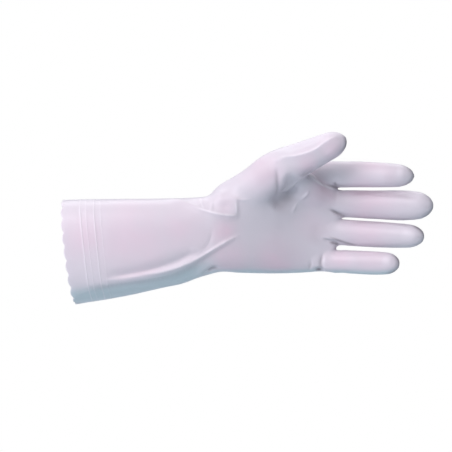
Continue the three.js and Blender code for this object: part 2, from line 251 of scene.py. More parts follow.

# Lines and spots painted paler, in a fold's columns: painted highlights, painted light and paler
# spots on pads. height is the mark's strength.
MARK = "height above below path"
PALE_AND_HIGHLIGHT_MARKS = table(
    MARK,
    # Painted highlights on the web's edge, the two creases beside the hollow, and the roots of
    # ring and little finger.
    (0.9, 1.0, 1.0, ((203, 69.5), (205.7, 67.4), (210.5, 63.0), (215.6, 59.5), (222.5, 56.5),
        (231.2, 53.6), (236, 53))),
    (0.6, 0.9, 0.9, ((206.5, 52.6), (204.2, 49.6), (200.1, 46.4))),
    (0.6, 0.8, 0.8, ((199.6, 46.2), (197.4, 41.4), (194.2, 35.6))),
    (0.5, 0.8, 0.8, ((224.5, 10.4), (230.0, 9.4), (233.6, 8.4))),
    (0.5, 1.0, 1.4, ((222.8, -3.8), (221.0, -7.4), (221.2, -11.0), (222.8, -13.8))),
    # Painted highlight on the thumb's facet line, a paler spot near the index fingertip, and
    # painted light that lifts the thumb's shadow off the index finger.
    (0.5, 0.9, 0.9, ((185.5, 80.0), (200.9, 83.0), (211.4, 87.2), (216.8, 91.2),
        (221.7, 94.2), (229, 97.6))),
    (0.4, 4.5, 4.5, ((280, 69), (285, 68.5), (289, 68))),
    (0.5, 9.0, 9.0, ((221, 66), (238, 64), (256, 65), (278, 65))),
    # Painted highlights on the wrist's fold, the crest of the slack's ridge and the pocket's ends.
    (0.8, 0.8, 0.8, ((108, 39.5), (117.4, 36.2), (127.3, 33.4), (137.2, 31.8), (148, 31.3))),
    (0.45, 1.2, 1.4, ((66, -18.9), (80, -16.6), (92, -13.4), (105, -8.3), (117, -1.9),
        (128, 4.8), (139, 11.0), (153, 16.8))),
    (0.65, 0.8, 0.8, ((114.4, 48), (115.6, 41), (118.4, 35.6))),
    (0.6, 0.8, 1.0, ((144.6, 45), (145, 38), (145.6, 30.5))),
    # The pads of the ring and little fingers.
    (0.4, 4.5, 4.5, ((283, 17), (292, 16), (300, 14))),
    (0.4, 4.0, 4.0, ((268, -6), (273, -7), (278, -8))),
)

# Lines and spots of painted shade: the creases at the fingers' roots, the hollow under the thumb,
# the fingertips' rims and the slack's edge.
PAINTED_SHADE_MARKS = table(
    MARK,
    # The roots of index, middle and ring finger.
    (0.75, 1.0, 1.0, ((222, 58.6), (228, 56.8), (232.5, 55.6), (238, 54.6))),
    (0.5, 0.8, 0.8, ((230.0, 61.5), (230.6, 58.6), (231.2, 55))),
    (0.85, 1.1, 1.1, ((224, 38), (230, 34.6), (236.3, 31.7), (242, 30.0))),
    (0.7, 0.9, 0.9, ((222.5, 13.4), (230.9, 11.0), (236, 9.2), (245.8, 6.6), (251, 6.2))),
    (0.95, 1.2, 1.2, ((224, 8.9), (230.6, 7.4), (236, 5.2))),
    # The little finger's creases.
    (0.45, 1.0, 1.2, ((221.6, -0.4), (219.2, -5.2), (218.2, -9.7), (219.6, -14.4), (221, -17))),
    (1.0, 1.1, 1.1, ((213.4, -15.6), (217, -15.2), (220.6, -15.2))),
    (0.4, 1.1, 1.1, ((210.6, -7.2), (209.4, -11.6), (207.6, -16.2))),
    # The hollow under the thumb, the thumb's lower edge and the crease at its root.
    (0.4, 5.0, 5.0, ((195, 51), (188, 46), (180, 41))),
    (0.3, 8.5, 9.0, ((193, 57), (188, 51), (183, 43), (177, 34))),
    (0.4, 0.8, 1.6, ((212, 70.8), (205.1, 66.8), (197.4, 62.0))),
    (0.3, 1.6, 1.6, ((178.6, 72), (179.2, 60), (180.4, 48))),
    # The pucker at the slack's end.
    (0.5, 1.2, 1.2, ((119.6, -17.4), (123.4, -13.8), (130, -12.8))),
    # Soft shade at the thumb's base, on the palm and on the little finger.
    (0.14, 8.0, 8.0, ((158, 60), (168, 67), (178, 73))),
    (0.13, 8.0, 8.0, ((216, 28), (214, 14), (210, 4))),
    (0.1, 6.0, 6.0, ((242, -7), (258, -8), (272, -9))),
    # The rims of the fingertips: index, middle, ring, little and thumb.
    (0.9, 1.7, 1.7, ((287, 75), (293, 72.5), (297, 68.6), (298, 65), (296.5, 61), (291.5, 57),
        (285, 55))),
    (0.9, 1.7, 1.7, ((303, 52.4), (309, 49.2), (313, 45), (314.2, 40.5), (312.8, 35.5),
        (308.5, 31), (301, 28.6))),
    (0.9, 1.7, 1.7, ((292, 24), (299, 21.6), (304, 18), (306.2, 13.5), (304.8, 8.4),
        (299.5, 4.6), (292, 3.4))),
    (0.9, 1.7, 1.7, ((276, -0.6), (281.6, -3.4), (284.6, -7.5), (285.2, -11), (283, -15),
        (278, -18), (271, -19))),
    (0.9, 1.7, 2.0, ((229.6, 81), (234.1, 83.9), (236.8, 88.4), (237.6, 94), (234, 99.6))),
    # The middle finger's upper dent, its lower side, and the foot of the slack's ridge.
    (0.2, 1.5, 2.2, ((240, 51.8), (262, 51.4), (282, 49.8), (302, 46.8))),
    (0.3, 0.8, 1.2, ((240, 25.8), (262, 25.4), (285, 23.8), (300, 20.6))),
    (0.16, 1.7, 2.8, ((12, -33.0), (37, -28.2), (59, -25.4), (80, -22.4), (92, -19.0),
        (103, -14.5), (114, -8.0), (125, -1.5), (138, 5.8))),
)

# Strips of painted bluish shade, standing in for shade and bluish light from below: on the slack,
# where the vinyl is thin, and on the lower edges of palm and little finger.
BLUISH_SHADE_MARKS = table(
    FOLD,
    (0.55, 7.5, 8.0, 3.0, ((-30, -44), (0, -39), (24, -36.5), (52, -32), (79, -26.5), (100, -21),
        (114, -15.5), (135, -10))),
    (0.6, 3.0, 5.0, 2.0, ((108, -19), (150, -17.5), (190, -18), (230, -17))),
    (0.6, 3.0, 5.0, 2.0, ((218, -17.5), (250, -18.5), (275, -18), (292, -15))),
)

# How finely the tubes are sampled before they are fused.
BODY_SIDES = 96
LIMB_SIDES = 32
BODY_STEP = 4.0
LIMB_STEP = 4.0
KNUCKLE_STEP = 1.0
KNUCKLE_END = 12.0  # the stretch at the fingers' roots that has the finer step
DOME_ANGLES = (0, 12, 24, 36, 47, 57, 66, 74, 81, 86)  # degrees from the dome's edge to the tip
TUBE_START = 90.0  # the palm's tube starts inside the cuff and is trimmed at CUFF_JOIN

# How the tubes are fused and smoothed.
VOXEL = 1.7
SMOOTH_FACTOR = 0.5
LEAST_WEIGHT = 0.01
SOFTEN_TURNS = 6  # how often the whole surface is smoothed, and the places where limbs meet
EASE_TURNS = 60
EASE_CORE = 0.45  # the share of an eased place's radius that is eased in full

# The cuff's rings. Distances are from the pinked edge.
CUFF_JOIN = 98.0  # where the cuff's rings meet the fused palm
RING_STEP = 1.7
RING_CLEARANCE = 0.8  # the least gap between the join and the first ring
BEAD_RINGS = (-1, -0.5, 0, 0.5, 1)  # where rings lie across a raised line, in half widths
TRIM_WELD = 0.6  # corners of the trimmed edge nearer than this are merged
ROUND_SAMPLES = 721  # how finely a ring is sampled to find each corner's place on it
RIM_BOW_REACH = 16.0  # how far into the cuff the rim's bow is felt
RIM_BOW_MIDDLE = 0.6  # the bow's share that the rim's middle has as well

# How fine the mesh is round the folds and marks.
BEADED_END = 35.0  # the cuff up to here is left as its rings lie
SPLIT_REACH = 2.6  # how far round a path the mesh is finer
SPLIT_WIDTH = 2.6  # wider marks need no finer mesh
EVEN_TURNS = 3  # how often the finer mesh is smoothed

# How squarely a face has to look out of the palm, as a normal's share of -Y, to start to take a
# fold or a mark, and to take it in full.
FOLD_FACING = (0.02, 0.35)
MARK_FACING = (-0.3, 0.5)
WARM_FALL = 1.6  # how quickly a warm patch fades, from its middle out

# The colour painted at each kind of mark, in the order in which they cover each other: painted
# bluish shade, paler spots and painted highlights, and painted shade.
TINTS = {
    "painted_bluish_shade": (0.50, 0.68, 0.71, 1),
    "pale": (0.90, 0.86, 0.91, 1),
    "painted_shade": (0.26, 0.22, 0.25, 1),
}
FLOCK_SHADE = (0.74, 0.72, 0.76, 1)  # between the fibres
FLOCK_PILE = 0.5


def column_at(rows, column, x):
    """The column's value at x, on a smooth curve through the table's rows."""
    knots = np.array([row["x"] for row in rows], float)
    values = np.array([row[column] for row in rows], float)
    slopes = np.gradient(values, knots)
    x = np.clip(x, knots[0], knots[-1])
    i = np.clip(np.searchsorted(knots, x) - 1, 0, len(knots) - 2)
    step = knots[i + 1] - knots[i]
    t = (x - knots[i]) / step
    return (
        values[i] * (2 * t**3 - 3 * t**2 + 1)
        + slopes[i] * step * (t**3 - 2 * t**2 + t)
        + values[i + 1] * (3 * t**2 - 2 * t**3)
        + slopes[i + 1] * step * (t**3 - t**2)
    )


def signed_power(value, power):
    return np.sign(value) * np.abs(value) ** power


def smooth_step(value, start, end):
    t = np.clip((value - start) / (end - start), 0, 1)
    return t * t * (3 - 2 * t)


def run_along(points):
    """Each point's distance along the line of points, from its start."""
    return np.concatenate([[0], np.cumsum(np.linalg.norm(np.diff(points, axis=0), axis=1))])


def body_point(x, angle):
    """Where the cuff or palm's surface is at x, this far round from the top, in millimetres."""
    at = {name: column_at(BODY, name, x) for name in BODY[0]}
    middle = (at["top"] + at["bottom"]) / 2
    half = (at["top"] - at["bottom"]) / 2
    rise = signed_power(np.cos(angle), 2 / at["square"])
    side = signed_power(np.sin(angle), 2 / at["square"])
    below = at["ridge"] - (middle + rise * half)
    narrow = 1 - at["tuck"] * smooth_step(below, 0, TUCK_WIDTH)
    depth = np.where(side > 0, at["front"], at["back"]) * narrow
    sunk = at["hollow"] * np.exp(-(((rise - HOLLOW_HEIGHT) / HOLLOW_SPREAD) ** 2))
    sunk = sunk * np.maximum(side, 0)
    return np.stack(
        [
            x - np.tan(np.radians(at["lean"])) * rise * half,
            at["y"] - side * depth + sunk - at["twist"] * rise - at["arch"] * rise**2
            - at["web"] * np.maximum(rise, 0) ** WEB_SHARPNESS,
            middle + rise * half,
        ],
        axis=-1,
    )


def limb_point(rows, dome, x, angle):
    """Where a limb's surface is at x, this far round from the thumb side, in millimetres."""
    nudge = 0.5
    ends = [np.stack([x + d, column_at(rows, "y", x + d), column_at(rows, "z", x + d)], -1)
            for d in (-nudge, nudge)]
    along = ends[1] - ends[0]
    along /= np.linalg.norm(along, axis=-1, keepdims=True)
    across = np.cross(along, (0.0, 1.0, 0.0))
    across /= np.linalg.norm(across, axis=-1, keepdims=True)
    deep = np.cross(along, across)
    past = np.clip((x - dome["start"]) / (dome["end"] - dome["start"]), 0, 1)
    scale = np.sqrt(1 - past**2)
    width = column_at(rows, "width", x) / 2 * scale * np.cos(angle)
    depth = column_at(rows, "depth", x) / 2 * scale * np.sin(angle)
    middle = np.stack([x, column_at(rows, "y", x), column_at(rows, "z", x)], -1)
    return middle + across * width[:, None] + deep * depth[:, None]


def alone(*objects):
    """Selects only these objects, the first one active."""
    bpy.ops.object.select_all(action="DESELECT")
    for item in objects:
        item.select_set(True)
    bpy.context.view_layer.objects.active = objects[0]


def edit_all(piece):
    """Opens edit mode on this piece alone, with everything selected."""
    alone(piece)
    bpy.ops.object.mode_set(mode="EDIT")
    bpy.ops.mesh.select_all(action="SELECT")


def turn_outward():
    """Turns all faces outward and leaves edit mode."""
    bpy.ops.mesh.select_all(action="SELECT")
    bpy.ops.mesh.normals_make_consistent(inside=False)
    bpy.ops.object.mode_set(mode="OBJECT")


def extrude_by(*offset):
    """Extrudes what is selected by this offset, in metres."""
    bpy.ops.mesh.extrude_region_move(TRANSFORM_OT_translate={"value": offset})


def straight_tube(name, stations, sides):
    """A closed tube along X with a ring of corners at each station, extruded from a disc."""
    bpy.ops.object.select_all(action="DESELECT")
    bpy.ops.mesh.primitive_circle_add(
        vertices=sides, radius=0.01, fill_type="NGON", rotation=(0, math.pi / 2, 0)
    )
    tube = bpy.context.object
    tube.name = name
    bpy.ops.object.transform_apply(location=True, rotation=True, scale=True)
    edit_all(tube)
    bpy.ops.transform.translate(value=(stations[0] * MM, 0, 0))
    for here, there in zip(stations, stations[1:]):
        extrude_by((there - here) * MM, 0, 0)
    bpy.ops.object.mode_set(mode="OBJECT")
    return tube


def corners(piece):
    points = np.zeros(len(piece.data.vertices) * 3)
    piece.data.vertices.foreach_get("co", points)
    return points.reshape(-1, 3)


def move_corners(piece, points):
    piece.data.vertices.foreach_set("co", np.asarray(points, np.float32).ravel())
    piece.data.update()


def shape_tube(tube, place):
    """Moves each corner of a straight tube to place(x, angle), angle being measured from +Z."""
    points = corners(tube)
    angle = np.arctan2(-points[:, 1], points[:, 2])
    move_corners(tube, place(points[:, 0] / MM, angle) * MM)
    edit_all(tube)
    turn_outward()


def steps(start, end, step):
    return list(np.linspace(start, end, max(2, round((end - start) / step) + 1)))


def spread_at(name, x):
    """How far a finger is held away from its place at x."""
    return SPREAD.get(name, 0.0) * smooth_step(x, SPREAD_START, SPREAD_FULL)


def make_limb(name):
    """One limb's tube, with its rounded tip, held away from its neighbours."""
    rows = LIMBS[name]
    end = rows[-1]["x"]
    run = end - rows[-2]["x"]
    aside = math.hypot(rows[-1]["y"] - rows[-2]["y"], rows[-1]["z"] - rows[-2]["z"])
    dome = {"start": end - DOMES[name] * run / math.hypot(run, aside), "end": end}
    length = dome["end"] - dome["start"]
    stations = steps(rows[0]["x"], dome["start"], LIMB_STEP)[:-1]
    stations += [dome["start"] + length * math.sin(math.radians(a)) for a in DOME_ANGLES]
    tube = straight_tube(name, stations, LIMB_SIDES)

    def place(x, angle):
        points = limb_point(rows, dome, x, angle)
        points[:, 2] += spread_at(name, points[:, 0])
        return points

    shape_tube(tube, place)
    return tube


def make_palm():
    """The tube of the palm and the wrist, up to where the cuff's rings take over."""
    end = BODY[-1]["x"]
    stations = steps(TUBE_START, end - KNUCKLE_END, BODY_STEP)
    stations += steps(end - KNUCKLE_END, end, KNUCKLE_STEP)[1:]
    tube = straight_tube(PIECE, stations, BODY_SIDES)
    shape_tube(tube, body_point)
    return tube


def apply_modifier(piece, name, kind, **settings):
    """Adds a modifier with these settings and applies it."""
    alone(piece)
    modifier = piece.modifiers.new(name, kind)
    for key, value in settings.items():
        setattr(modifier, key, value)
    bpy.ops.object.modifier_apply(modifier=modifier.name)


def smooth(piece, turns, weights=None):
    """Smooths the surface this many times, as strongly as the weights say where they are given."""
    settings = {"factor": SMOOTH_FACTOR, "iterations": turns}
    if weights is not None:
        group = piece.vertex_groups.new(name="smoothed")
        for i in np.where(weights > LEAST_WEIGHT)[0]:
            group.add([int(i)], float(weights[i]), "REPLACE")
        settings["vertex_group"] = group.name
    apply_modifier(piece, "Smooth", "SMOOTH", **settings)
    piece.vertex_groups.clear()


def near(points, centre, radius):
    """1 at the centre, falling to 0 at the radius, in millimetres."""
    gap = np.linalg.norm(points / MM - np.array(centre), axis=1)
    return 1 - smooth_step(gap, radius * EASE_CORE, radius)


# Where the limbs run into the palm, and how far round each place the surface is eased.
EASED = table(
    "centre radius",
    ((168, -20, 42), 26),
    ((150, -20, 34), 24),
    ((226, -1, 38), 10),
    ((206, -8, 50), 13),
    ((226, -4, 17), 13),
    ((222, -6, -8), 13),
    ((222, 20, 60), 16),
    ((226, 18, 41), 14),
    ((226, 17, 17), 14),
    ((222, 14, -8), 14),
    ((186, 14, 64), 22),
    ((160, 6, 60), 24),
)


def close_fingers(piece):
    """Moves each finger back from where it was held to where it belongs."""
    points = corners(piece) / MM
    x = points[:, 0]
    gaps = []
    for name, rows in LIMBS.items():
        y = points[:, 1] - column_at(rows, "y", x)
        z = points[:, 2] - column_at(rows, "z", x) - spread_at(name, x)
        gaps.append(np.hypot(y, z))
    nearest = np.argmin(gaps, axis=0)
    for i, name in enumerate(LIMBS):
        points[nearest == i, 2] -= spread_at(name, x[nearest == i])
    move_corners(piece, points * MM)


def blend_limbs(piece):
    """Fuses the tubes into one surface and eases the places where they meet."""
    apply_modifier(piece, "Fuse", "REMESH", mode="VOXEL", voxel_size=VOXEL * MM)
    close_fingers(piece)
    smooth(piece, SOFTEN_TURNS)
    points = corners(piece)
    weights = np.zeros(len(points))
    for row in EASED:
        weights = np.maximum(weights, near(points, row["centre"], row["radius"]))
    smooth(piece, EASE_TURNS, weights)


def cuff_rings():
    """Where the cuff's rings lie, from its join with the palm to the pinked edge."""
    places = steps(0, CUFF_JOIN, RING_STEP)
    for bead in BEADS:
        places += [bead["start"] + bead["half"] * share for share in BEAD_RINGS]
    clear = [p for p in places if 0 <= p < CUFF_JOIN - RING_CLEARANCE]
    return sorted(set(round(p, 2) for p in clear), reverse=True)


def raise_beads(piece):
    """Lifts the raised lines from the cuff's rings."""
    lift = bead_profile(piece, "height")
    move_corners(piece, corners(piece) + normals_of(piece) * (lift * MM)[:, None])


def trim_tube(piece):
    """Opens edit mode and cuts the tube off at the join, at the slant of the cuff's rings there."""
    lean = math.radians(float(column_at(BODY, "lean", np.array([CUFF_JOIN]))[0]))
    middle = body_point(np.full(2, CUFF_JOIN), np.array([0, math.pi])).mean(axis=0) * MM
    edit_all(piece)
    bpy.ops.mesh.bisect(
        plane_co=tuple(middle), plane_no=(-math.cos(lean), 0, -math.sin(lean)), clear_outer=True
    )
    bpy.ops.mesh.select_all(action="DESELECT")
    bpy.ops.mesh.select_mode(type="VERT")
    bpy.ops.mesh.select_non_manifold(extend=False)
    bpy.ops.mesh.remove_doubles(threshold=TRIM_WELD * MM)


def add_cuff(piece, sizes):
    """Extrudes the cuff from the trimmed tube, ring by ring, out to the pinked edge."""
    trim_tube(piece)
    form = bmesh.from_edit_mesh(piece.data)
    turn = form.verts.layers.float.new("turn")
    form.verts.layers.float.new("past_join")
    angles = np.linspace(-math.pi, math.pi, ROUND_SAMPLES)
    ring = body_point(np.full(len(angles), CUFF_JOIN), angles) * MM
    rim = body_point(np.zeros(len(angles)), angles)
    rim_shares = run_along(rim) / run_along(rim)[-1]
    for v in form.verts:
        v.select = v.is_boundary
        if v.is_boundary:
            v[turn] = angles[np.argmin(np.linalg.norm(ring - np.array(v.co), axis=1))]
    form.select_flush(True)
    bmesh.update_edit_mesh(piece.data)
    here = CUFF_JOIN
    for there in cuff_rings():
        extrude_by((there - here) * MM, 0, 0)
        form = bmesh.from_edit_mesh(piece.data)
        turn = form.verts.layers.float["turn"]
        past_join = form.verts.layers.float["past_join"]
        chosen = [v for v in form.verts if v.select]
        places = body_point(np.full(len(chosen), there), np.array([v[turn] for v in chosen]))
        near_edge = 1 - smooth_step(there, 0, sizes.scallop_reach / MM)
        bow = sizes.rim_bow * (1 - smooth_step(there, 0, RIM_BOW_REACH))
        for v, place in zip(chosen, places):
            share = np.interp(v[turn], angles, rim_shares)
            wave = abs(math.sin(math.pi * share * sizes.scallops))
            v.co = Vector(place) * MM
            v.co.x -= sizes.scallop_depth * (wave - 0.5) * near_edge
            v.co.x += bow * (RIM_BOW_MIDDLE + (place[2] / BODY[0]["top"]) ** 2)
            v[past_join] = CUFF_JOIN - there
        bmesh.update_edit_mesh(piece.data)
        here = there
    turn_outward()


def curve_through(path, count=48):
    """Points along a smooth curve through the path's points."""
    path = np.array(path, float)
    run = run_along(path)
    rows = [{"x": r, "u": p[0], "w": p[1]} for r, p in zip(run, path)]
    at = np.linspace(0, run[-1], count)
    return np.stack([column_at(rows, "u", at), column_at(rows, "w", at)], axis=-1)


def fold_gaps(places, fold):
    """Each place's distance from a fold's path, its share of the path and whether it lies above."""
    line = curve_through(fold["path"])
    along = np.gradient(line, axis=0)
    gap = np.full(len(places), FAR)
    share = np.zeros(len(places))
    above = np.zeros(len(places), bool)
    low, high = line.min(0) - FOLD_REACH, line.max(0) + FOLD_REACH
    found = np.where(np.all((places > low) & (places < high), axis=1))[0]
    offset = places[found, None, :] - line[None, :, :]
    gaps = np.linalg.norm(offset, axis=2)
    nearest = gaps.argmin(axis=1)
    off = offset[np.arange(len(found)), nearest]
    gap[found] = gaps.min(axis=1)
    share[found] = nearest / (len(line) - 1)
    above[found] = along[nearest, 0] * off[:, 1] - along[nearest, 1] * off[:, 0] > 0
    return gap, share, above


def fold_lift(places, fold):
    """How far one fold lifts each place, in millimetres."""
    gap, share, above = fold_gaps(places, fold)
    whole = run_along(curve_through(fold["path"]))[-1]
    fade_share = np.clip(FOLD_FADE / whole, *FOLD_FADE_SHARES)
    fade = smooth_step(np.minimum(share, 1 - share), 0, fade_share)
    half = np.where(above, fold["above"], fold["below"])
    return fold["height"] * fade * np.exp(-((gap / half) ** fold.get("power", 2.0)))


def normals_of(piece):
    normals = np.zeros(len(piece.data.vertices) * 3)
    piece.data.vertex_normals.foreach_get("vector", normals)
    return normals.reshape(-1, 3)


def split_near_folds(piece):
    """Splits the faces round the folds, so that the mesh there is fine enough for them."""
    points = corners(piece)[:, [0, 2]] / MM
    front = normals_of(piece)[:, 1] < 0
    chosen = np.zeros(len(points), bool)
    for fold in FOLDS + PALE_AND_HIGHLIGHT_MARKS + PAINTED_SHADE_MARKS:
        if max(fold["above"], fold["below"]) < SPLIT_WIDTH:
            gap, _, _ = fold_gaps(points, fold)
            chosen |= gap < SPLIT_REACH
    chosen &= front & (points[:, 0] > BEADED_END)
    alone(piece)
    bpy.ops.object.mode_set(mode="EDIT")
    bpy.ops.mesh.select_mode(type="VERT")
    bpy.ops.mesh.select_all(action="DESELECT")
    form = bmesh.from_edit_mesh(piece.data)
    for v, pick in zip(form.verts, chosen):
        v.select = bool(pick)
    form.select_flush(True)
    bmesh.update_edit_mesh(piece.data)
    bpy.ops.mesh.subdivide(number_cuts=1)
    form = bmesh.from_edit_mesh(piece.data)
    picked = [v.index for v in form.verts if v.select]
    bpy.ops.object.mode_set(mode="OBJECT")
    weights = np.zeros(len(piece.data.vertices))
    weights[picked] = 1
    smooth(piece, EVEN_TURNS, weights)


def bead_profile(piece, column):
    """A column of BEADS over the cuff, whose rings remember how far past the join they lie."""
    past_join = np.zeros(len(piece.data.vertices))
    piece.data.attributes["past_join"].data.foreach_get("value", past_join)
    profile = np.zeros(len(past_join))
    for bead in BEADS:
        off = np.minimum(np.abs(CUFF_JOIN - past_join - bead["start"]) / bead["half"], 1)
        profile += bead[column] * np.cos(off * math.pi / 2) ** 2
    return profile


def mark_vinyl(piece):
    """Stores where the palm side's vinyl is warm, and where paler spots, painted highlights,
    painted shade and painted bluish shade lie.
    """
    places = corners(piece)[:, [0, 2]] / MM
    facing = smooth_step(-normals_of(piece)[:, 1], *MARK_FACING)
    warm = np.zeros(len(places))
    for spot in BLUSH:
        gap = np.linalg.norm(places - np.array([spot["x"], spot["z"]]), axis=1)
        fade = np.exp(-((gap / spot["radius"]) ** 2) * WARM_FALL)
        warm = np.maximum(warm, spot["amount"] * fade)
    marks = {"warm": warm * facing}
    # Paler spots and painted highlights, painted shade and painted bluish shade, each from its
    # table.
    for name, rows in {"pale": PALE_AND_HIGHLIGHT_MARKS, "painted_shade": PAINTED_SHADE_MARKS, "painted_bluish_shade": BLUISH_SHADE_MARKS}.items():
        marks[name] = np.max([fold_lift(places, row) for row in rows], axis=0) * facing
    # The cuff's raised lines take a painted highlight, and the pinked edge is painted paler.
    marks["pale"] = np.maximum(marks["pale"], bead_profile(piece, "pale"))
    for name, amounts in marks.items():
        layer = piece.data.attributes.new(name, "FLOAT", "POINT")
        layer.data.foreach_set("value", amounts)


def press_folds(piece, sizes):
    """Lifts and sinks the palm side along the folds."""
    points = corners(piece)
    normals = normals_of(piece)
    facing = smooth_step(-normals[:, 1], *FOLD_FACING)
    lift = np.zeros(len(points))
    for fold in FOLDS:
        lift += fold_lift(points[:, [0, 2]] / MM, fold)
    points += normals * (lift * facing * sizes.fold_strength * MM)[:, None]
    move_corners(piece, points)


def add_wall(piece, sizes):
    """Gives the glove its wall. The inner faces take the flock, the rim stays vinyl."""
    apply_modifier(
        piece, "Wall", "SOLIDIFY", thickness=sizes.wall, offset=-1, use_rim=True,
        use_even_offset=False, material_offset=1, material_offset_rim=0,
    )
    alone(piece)
    bpy.ops.object.shade_smooth()


class Nodes:
    """Adds and joins the nodes of one tree."""

    def __init__(self, tree):
        self.tree = tree

    def add(self, kind, inputs=None, **settings):
        node = self.tree.nodes.new(kind)
        for key, value in settings.items():
            setattr(node, key, value)
        for name, value in (inputs or {}).items():
            self.feed(node.inputs[name], value)
        return node

    def feed(self, socket, value):
        if isinstance(value, bpy.types.NodeSocket):
            self.tree.links.new(value, socket)
        else:
            socket.default_value = value

    def mix(self, factor, first, second):
        """The output of a blend from the first colour to the second."""
        blend = self.add("ShaderNodeMix", {"Factor": factor}, data_type="RGBA")
        self.feed(blend.inputs[6], first)
        self.feed(blend.inputs[7], second)
        return blend.outputs[2]

    def noise(self, place, size, detail, roughness=0.5):
        """The output of a cloudy noise."""
        cloud = self.add("ShaderNodeTexNoise", {
            "Vector": place, "Scale": size, "Detail": detail, "Roughness": roughness,
        })
        return cloud.outputs["Fac"]

    def group(self, tree, inputs):
        return self.add("ShaderNodeGroup", inputs, node_tree=tree)

    def relief(self, grain, inputs, height):
        """The normals of a surface with this grain, as high as height says."""
        surface = self.group(grain, inputs)
        bump = self.add("ShaderNodeBump", {
            "Height": surface.outputs["Height"], "Distance": height, "Strength": 1.0,
        })
        return bump.outputs["Normal"]


def effect_group(name, inputs, outputs):
    """A node group with these sockets, given as (name, type, default), its nodes and its ends."""
    tree = bpy.data.node_groups.new(name, "ShaderNodeTree")
    for label, kind, default in inputs:
        socket = tree.interface.new_socket(label, in_out="INPUT", socket_type=kind)
        socket.default_value = default
    for label, kind in outputs:
        tree.interface.new_socket(label, in_out="OUTPUT", socket_type=kind)
    nodes = Nodes(tree)
    return nodes, nodes.add("NodeGroupInput").outputs, nodes.add("NodeGroupOutput").inputs


def mottle_group():
    """Two colours in soft cloudy patches."""
    nodes, given, out = effect_group(
        "Soft mottle",
        [
            ("Place", "NodeSocketVector", (0, 0, 0)),
            ("Base", "NodeSocketColor", (1, 1, 1, 1)),
            ("Tint", "NodeSocketColor", (1, 1, 1, 1)),
            ("Size", "NodeSocketFloat", 40.0),
            ("Even", "NodeSocketFloat", 0.0),
            ("Amount", "NodeSocketFloat", 0.5),
        ],
        [("Colour", "NodeSocketColor"), ("Mask", "NodeSocketFloat")],
    )
    cloud = nodes.noise(given["Place"], given["Size"], 2.0, 0.45)
    patch = nodes.add(
        "ShaderNodeMapRange",
        {"Value": cloud, "From Min": 0.38, "From Max": 0.62, "To Min": given["Even"]},
        interpolation_type="SMOOTHSTEP",
    )
    share = nodes.add(
        "ShaderNodeMath", {0: patch.outputs["Result"], 1: given["Amount"]},
        operation="MULTIPLY",
    )
    blend = nodes.mix(share.outputs[0], given["Base"], given["Tint"])
    nodes.feed(out["Colour"], blend)
    nodes.feed(out["Mask"], share.outputs[0])
    return nodes.tree


def grain_group():
    """A fine uneven surface on a broad soft waviness, as a height."""
    nodes, given, out = effect_group(
        "Fine grain",
        [
            ("Place", "NodeSocketVector", (0, 0, 0)),
            ("Grain size", "NodeSocketFloat", 900.0),
            ("Wave size", "NodeSocketFloat", 90.0),
            ("Wave share", "NodeSocketFloat", 0.8),
        ],
        [("Height", "NodeSocketFloat")],
    )
    blend = nodes.add("ShaderNodeMix", {"Factor": given["Wave share"]})
    place = given["Place"]
    nodes.feed(blend.inputs[2], nodes.noise(place, given["Grain size"], 3.0))
    nodes.feed(blend.inputs[3], nodes.noise(place, given["Wave size"], 1.0))
    nodes.feed(out["Height"], blend.outputs[0])
    return nodes.tree


def new_material(name):
    """A material with an empty tree, its nodes, its surface output and object coordinates."""
    material = bpy.data.materials.new(name)
    material.use_nodes = True
    material.node_tree.nodes.clear()
    nodes = Nodes(material.node_tree)
    out = nodes.add("ShaderNodeOutputMaterial")
    place = nodes.add("ShaderNodeTexCoord")
    return material, nodes, out, place.outputs["Object"]


def vinyl_material(finish, mottle, grain):
    """Milky dipped vinyl with a soft satin sheen, faint warm patches, and the marks' painted
    highlights and painted shade.
    """
    material, nodes, out, place = new_material("Dipped vinyl")
    warm = nodes.add("ShaderNodeAttribute", attribute_name="warm")
    amount = nodes.add(
        "ShaderNodeMath", {0: warm.outputs["Fac"], 1: finish.blush_amount}, operation="MULTIPLY"
    )
    patches = nodes.group(mottle, {
        "Place": place, "Base": (*finish.vinyl, 1), "Tint": (*finish.blush, 1),
        "Size": 34.0, "Even": 0.6, "Amount": amount.outputs[0],
    })
    waves = {"Place": place, "Grain size": 700.0, "Wave size": 70.0, "Wave share": 0.85}
    normal = nodes.relief(grain, waves, finish.vinyl_relief)
    paint = patches.outputs["Colour"]
    # Painted bluish shade, paler spots and painted highlights, and painted shade, over the vinyl's
    # colour.
    for mark, tint in TINTS.items():
        strength = nodes.add("ShaderNodeAttribute", attribute_name=mark)
        paint = nodes.mix(strength.outputs["Fac"], paint, tint)
    shader = nodes.add("ShaderNodeBsdfPrincipled", {
        "Base Color": paint, "Roughness": finish.vinyl_roughness, "IOR": 1.5, "Normal": normal,
    })
    nodes.feed(out.inputs["Surface"], shader.outputs["BSDF"])
    return material


def flock_material(finish, mottle, grain):
    """Short matt fibres that stand on the inner face."""
    material, nodes, out, place = new_material("Cotton flock")
    patches = nodes.group(mottle, {
        "Place": place, "Base": (*finish.flock, 1), "Tint": FLOCK_SHADE,
        "Size": 1400.0, "Amount": 0.7,
    })
    fibres = {"Place": place, "Grain size": 2600.0, "Wave size": 500.0, "Wave share": 0.4}
    normal = nodes.relief(grain, fibres, FLOCK_PILE * MM)
    shader = nodes.add("ShaderNodeBsdfPrincipled", {
        "Base Color": patches.outputs["Colour"], "Roughness": 0.95,
        "Sheen Weight": 0.4, "Sheen Roughness": 0.6, "Normal": normal,
    })
    nodes.feed(out.inputs["Surface"], shader.outputs["BSDF"])
    return material


def length(name, description, default, low, high):
    """A length's property, given in millimetres."""
    return bpy.props.FloatProperty(
        name=name, description=description, default=default * MM, min=low * MM, max=high * MM,
        unit="LENGTH",
    )


